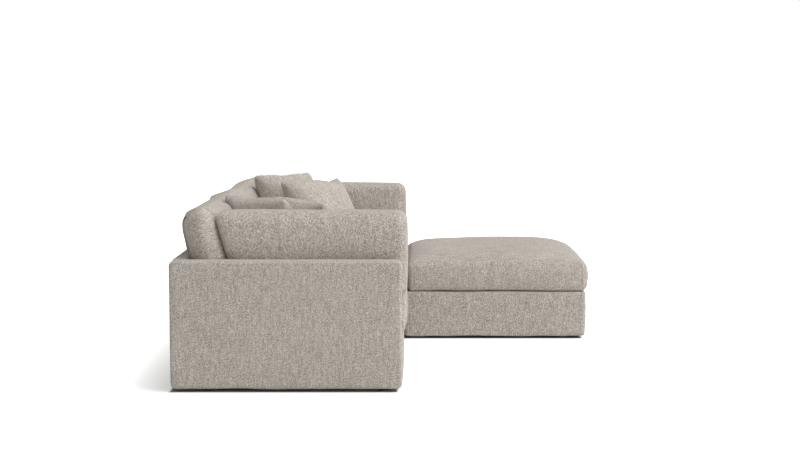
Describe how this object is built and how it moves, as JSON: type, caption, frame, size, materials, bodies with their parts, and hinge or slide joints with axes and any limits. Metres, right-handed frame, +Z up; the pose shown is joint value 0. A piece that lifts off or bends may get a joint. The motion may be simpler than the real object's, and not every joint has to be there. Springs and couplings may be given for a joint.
{
  "type": "sectional sofa with chaise",
  "caption": "Slipcovered sofa with padded arm and back panels, loose seat, back, arm and throw cushions, and a square chaise unit against the right seat.",
  "frame": {"origin": "on the floor, under the middle of the assembly's box", "axes": "+X along the sofa to the right arm as seen from the front, -Y out of the front towards the chaise, +Z up"},
  "size_m": [2.24, 2.084, 0.8774],
  "materials": {
    "upholstery_weave": "matte",
    "frame_timber": "matte",
    "elastic_webbing": "matte",
    "deck_felt": "matte",
    "dust_cloth": "matte",
    "foot_plastic": "satin"
  },
  "bodies": {
    "sofa": {"left_arm_frame": "frame_timber", "right_arm_frame": "frame_timber", "back_frame": "frame_timber", "seat_front_rail": "frame_timber", "seat_rear_rail": "frame_timber", "seat_left_rail": "frame_timber", "seat_right_rail": "frame_timber", "seat_centre_rail": "frame_timber", "seat_strap_1": "elastic_webbing", "seat_strap_2": "elastic_webbing", "seat_strap_3": "elastic_webbing", "seat_strap_4": "elastic_webbing", "seat_strap_5": "elastic_webbing", "seat_strap_6": "elastic_webbing", "seat_long_strap_1": "elastic_webbing", "seat_long_strap_2": "elastic_webbing", "left_arm_cover": "upholstery_weave", "right_arm_cover": "upholstery_weave", "back_cover": "upholstery_weave", "seat_front_cover": "upholstery_weave", "seat_deck": "deck_felt", "seat_dust_cover": "dust_cloth", "sofa_left_front_foot": "foot_plastic", "sofa_left_rear_foot": "foot_plastic", "sofa_middle_front_foot": "foot_plastic", "sofa_middle_rear_foot": "foot_plastic", "sofa_right_front_foot": "foot_plastic", "sofa_right_rear_foot": "foot_plastic"},
    "chaise": {"chaise_front_rail": "frame_timber", "chaise_rear_rail": "frame_timber", "chaise_left_rail": "frame_timber", "chaise_right_rail": "frame_timber", "chaise_strap_1": "elastic_webbing", "chaise_strap_2": "elastic_webbing", "chaise_strap_3": "elastic_webbing", "chaise_long_strap_1": "elastic_webbing", "chaise_long_strap_2": "elastic_webbing", "chaise_front_cover": "upholstery_weave", "chaise_right_cover": "upholstery_weave", "chaise_rear_cover": "upholstery_weave", "chaise_left_cover": "upholstery_weave", "chaise_deck": "deck_felt", "chaise_dust_cover": "dust_cloth", "chaise_left_front_foot": "foot_plastic", "chaise_left_rear_foot": "foot_plastic", "chaise_right_front_foot": "foot_plastic", "chaise_right_rear_foot": "foot_plastic"},
    "chaise_cushion_body": {"chaise_cushion": "upholstery_weave"},
    "left_seat_body": {"left_seat_cushion": "upholstery_weave"},
    "left_back_body": {"left_back_cushion": "upholstery_weave"},
    "left_arm_body": {"left_arm_cushion": "upholstery_weave"},
    "left_rear_pillow_body": {"left_rear_pillow": "upholstery_weave"},
    "left_front_pillow_body": {"left_front_pillow": "upholstery_weave"},
    "right_seat_body": {"right_seat_cushion": "upholstery_weave"},
    "right_back_body": {"right_back_cushion": "upholstery_weave"},
    "right_arm_body": {"right_arm_cushion": "upholstery_weave"},
    "right_rear_pillow_body": {"right_rear_pillow": "upholstery_weave"},
    "right_front_pillow_body": {"right_front_pillow": "upholstery_weave"}
  },
  "joints": [
    {"name": "chaise_slide", "type": "slide", "parent": "sofa", "child": "chaise", "axis": [0, -1, 0], "range_m": [0, 0.6]},
    {"name": "chaise_cushion_lift", "type": "slide", "parent": "chaise", "child": "chaise_cushion_body", "axis": [0, 0, 1], "range_m": [0, 0.25]},
    {"name": "left_seat_lift", "type": "slide", "parent": "sofa", "child": "left_seat_body", "axis": [0, 0, 1], "range_m": [0, 0.35]},
    {"name": "left_back_lift", "type": "slide", "parent": "left_seat_body", "child": "left_back_body", "axis": [0, 0, 1], "range_m": [0, 0.42]},
    {"name": "left_arm_lift", "type": "slide", "parent": "left_back_body", "child": "left_arm_body", "axis": [0, 0, 1], "range_m": [0, 0.42]},
    {"name": "left_rear_pillow_lift", "type": "slide", "parent": "left_arm_body", "child": "left_rear_pillow_body", "axis": [0, 0, 1], "range_m": [0, 0.4]},
    {"name": "left_front_pillow_lift", "type": "slide", "parent": "left_rear_pillow_body", "child": "left_front_pillow_body", "axis": [0, 0, 1], "range_m": [0, 0.4]},
    {"name": "right_seat_lift", "type": "slide", "parent": "sofa", "child": "right_seat_body", "axis": [0, 0, 1], "range_m": [0, 0.35]},
    {"name": "right_back_lift", "type": "slide", "parent": "right_seat_body", "child": "right_back_body", "axis": [0, 0, 1], "range_m": [0, 0.42]},
    {"name": "right_arm_lift", "type": "slide", "parent": "right_back_body", "child": "right_arm_body", "axis": [0, 0, 1], "range_m": [0, 0.42]},
    {"name": "right_rear_pillow_lift", "type": "slide", "parent": "right_arm_body", "child": "right_rear_pillow_body", "axis": [0, 0, 1], "range_m": [0, 0.4]},
    {"name": "right_front_pillow_lift", "type": "slide", "parent": "right_rear_pillow_body", "child": "right_front_pillow_body", "axis": [0, 0, 1], "range_m": [0, 0.4]}
  ]
}
